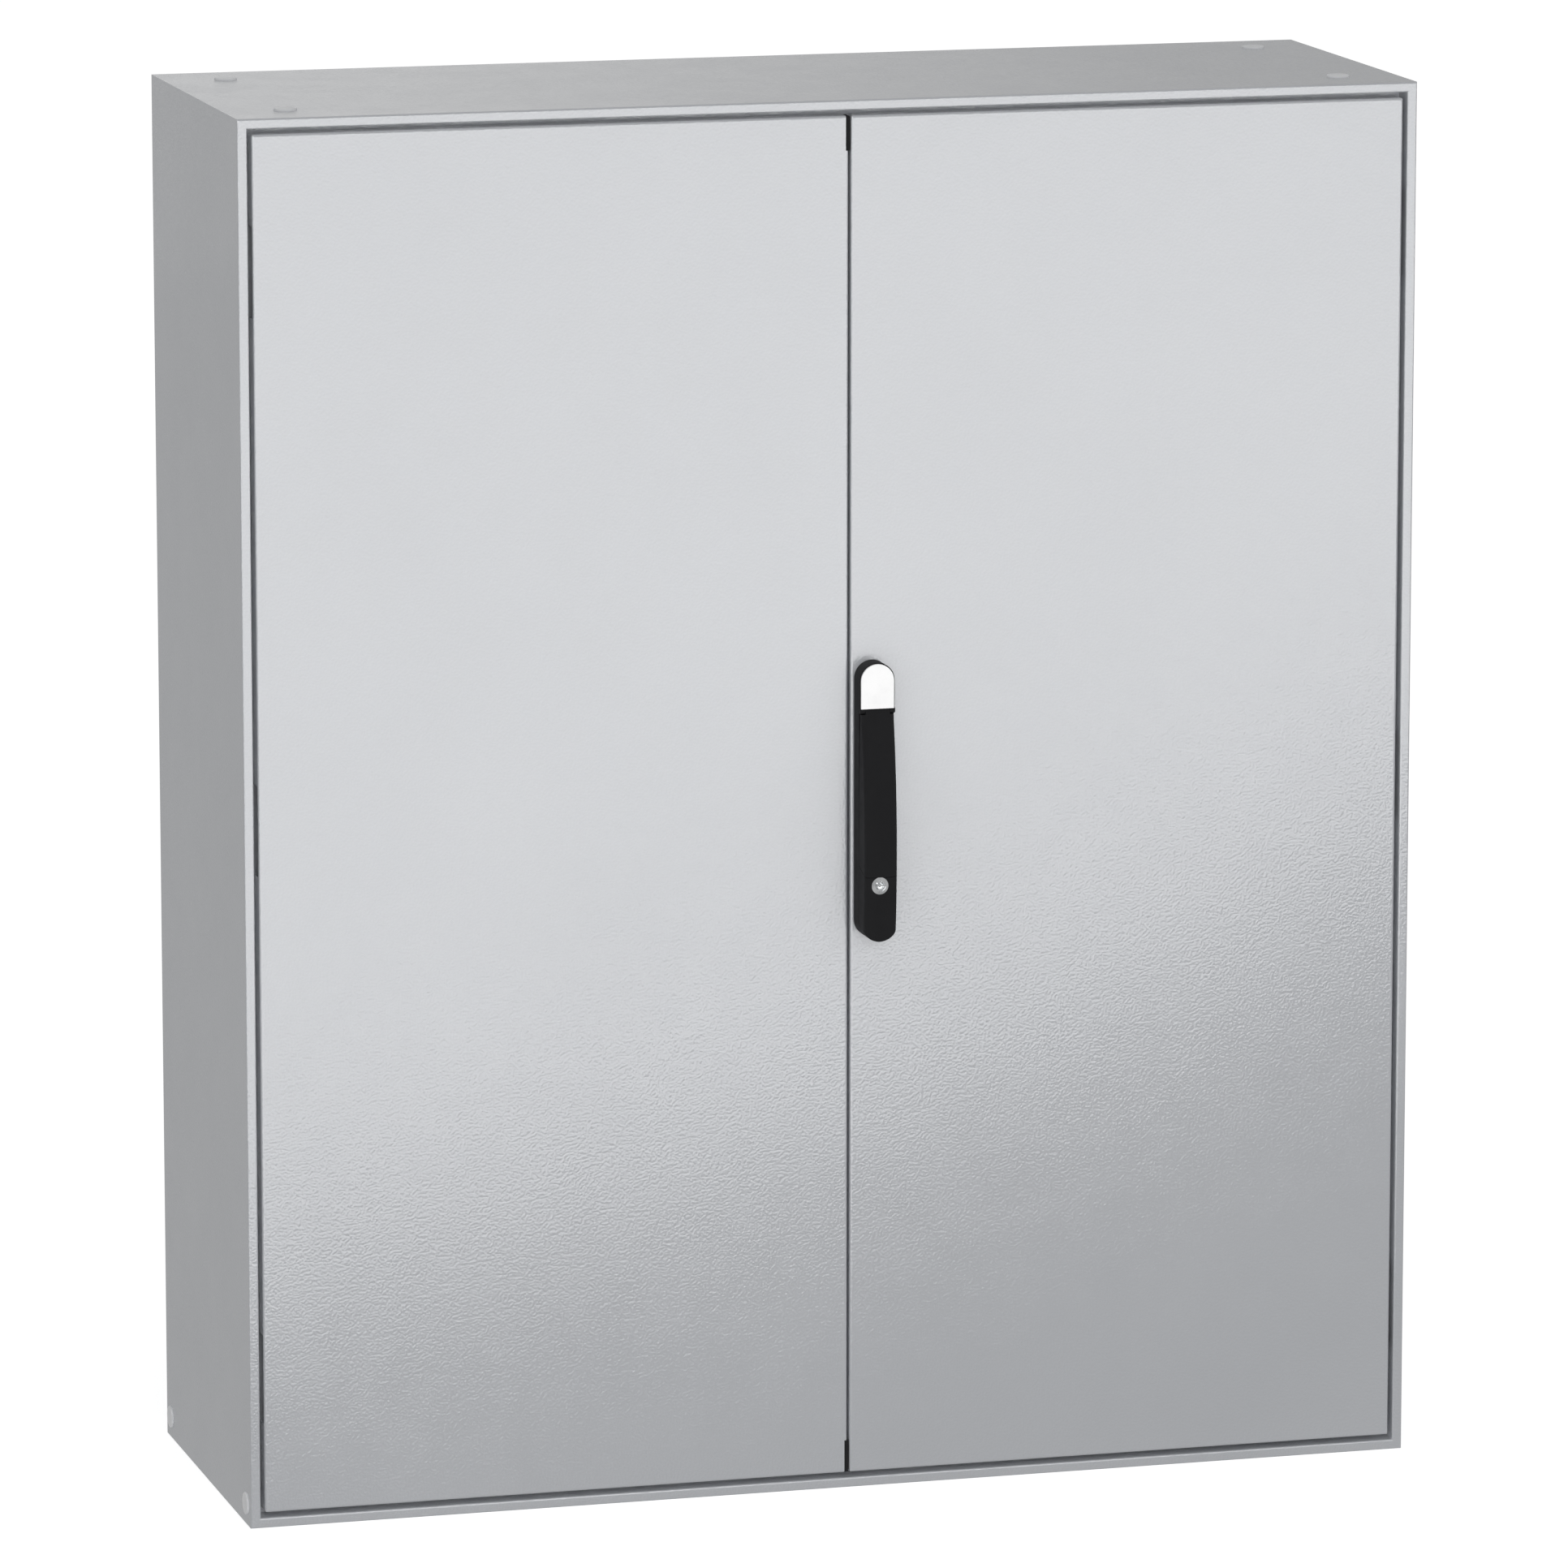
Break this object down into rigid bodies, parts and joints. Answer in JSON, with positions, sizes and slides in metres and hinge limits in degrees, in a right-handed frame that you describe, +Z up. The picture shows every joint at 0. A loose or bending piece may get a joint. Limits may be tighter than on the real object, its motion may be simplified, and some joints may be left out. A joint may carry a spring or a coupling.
{
  "type": "industrial switchboard cabinet",
  "caption": "Two-door floor-standing sheet-steel switchboard enclosure with a black swivel lever handle, lock rods, mounting plate and floor cable plates.",
  "frame": {"origin": "centre of the base on the floor: the middle of the width and of the body's depth", "axes": "+Z up, front doors face -Y, +X to the right as seen from the front"},
  "size_m": [1.2044, 0.4384, 1.4022],
  "materials": {
    "painted_steel": "satin",
    "galvanised_steel": "satin",
    "screws": "satin",
    "foam": "matte",
    "black_plastic": "satin",
    "white_plastic": "satin",
    "grey_plastic": "satin",
    "lock_metal": "polished"
  },
  "bodies": {
    "cabinet": {"enclosure_body": "painted_steel", "rear_panel": "painted_steel", "rear_gasket": "foam", "rear_panel_screws": "screws", "roof_plugs": "grey_plastic", "side_plugs": "grey_plastic", "mounting_plate": "galvanised_steel", "plate_brackets": "galvanised_steel", "plate_screws": "screws", "plate_nuts": "screws", "gland_plate_left": "galvanised_steel", "gland_plate_right": "galvanised_steel", "gland_gaskets": "foam", "gland_screws": "screws", "earth_nuts": "screws", "hinge_brackets_left": "galvanised_steel", "hinge_brackets_right": "galvanised_steel", "hinge_pins_left": "screws", "hinge_pins_right": "screws", "hinge_screws": "screws"},
    "left_door": {"left_door_panel": "painted_steel", "left_door_gasket": "foam", "left_door_stiffeners": "painted_steel", "left_door_hinge_lugs": "galvanised_steel", "left_door_edge_caps": "black_plastic", "left_door_earth_nut": "screws", "bolt_brackets": "black_plastic"},
    "right_door": {"right_door_panel": "painted_steel", "right_door_gasket": "foam", "right_door_stiffeners": "painted_steel", "right_door_hinge_lugs": "galvanised_steel", "right_door_earth_nut": "screws", "handle_base": "black_plastic", "handle_screws": "screws", "lock_case": "galvanised_steel", "upper_rod_guides": "black_plastic", "lower_rod_guides": "black_plastic", "lock_nuts": "screws", "lock_bezel": "lock_metal"},
    "top_bolt": {"top_slide_bolt": "screws"},
    "bottom_bolt": {"bottom_slide_bolt": "screws"},
    "upper_rod": {"upper_lock_rod": "galvanised_steel"},
    "lower_rod": {"lower_lock_rod": "galvanised_steel"},
    "handle_turning": {"handle_hub": "black_plastic", "handle_cap": "white_plastic", "drive_pinion": "galvanised_steel", "lever_pin": "screws"},
    "lever": {"handle_lever": "black_plastic"},
    "key_core": {"lock_core": "lock_metal", "lock_cam": "lock_metal"}
  },
  "joints": [
    {"name": "left_door_hinge", "type": "hinge", "parent": "cabinet", "child": "left_door", "pos_m": [-0.5775, -0.1915, 0.7], "axis": [0, 0, -1], "range_deg": [0, 110]},
    {"name": "right_door_hinge", "type": "hinge", "parent": "cabinet", "child": "right_door", "pos_m": [0.5775, -0.1915, 0.7], "axis": [0, 0, 1], "range_deg": [0, 110]},
    {"name": "handle_turn", "type": "hinge", "parent": "right_door", "child": "handle_turning", "pos_m": [0.0365, -0.1995, 0.825], "axis": [0, -1, 0], "range_deg": [0, 90]},
    {"name": "lever_lift", "type": "hinge", "parent": "handle_turning", "child": "lever", "pos_m": [0.0365, -0.2197, 0.7946], "axis": [-1, 0, 0], "range_deg": [0, 35]},
    {"name": "key_turn", "type": "hinge", "parent": "right_door", "child": "key_core", "pos_m": [0.0355, -0.1995, 0.6214], "axis": [0, -1, 0], "range_deg": [0, 90]},
    {"name": "upper_rod_slide", "type": "slide", "parent": "right_door", "child": "upper_rod", "axis": [0, 0, -1], "range_m": [0, 0.0166]},
    {"name": "lower_rod_slide", "type": "slide", "parent": "right_door", "child": "lower_rod", "axis": [0, 0, 1], "range_m": [0, 0.0166]},
    {"name": "top_bolt_slide", "type": "slide", "parent": "left_door", "child": "top_bolt", "axis": [0, 0, -1], "range_m": [0, 0.022]},
    {"name": "bottom_bolt_slide", "type": "slide", "parent": "left_door", "child": "bottom_bolt", "axis": [0, 0, 1], "range_m": [0, 0.022]}
  ],
  "couplings": [
    {"joint": "upper_rod_slide", "follows": "handle_turn", "m_per_rad": 0.0105},
    {"joint": "lower_rod_slide", "follows": "handle_turn", "m_per_rad": 0.0105}
  ]
}
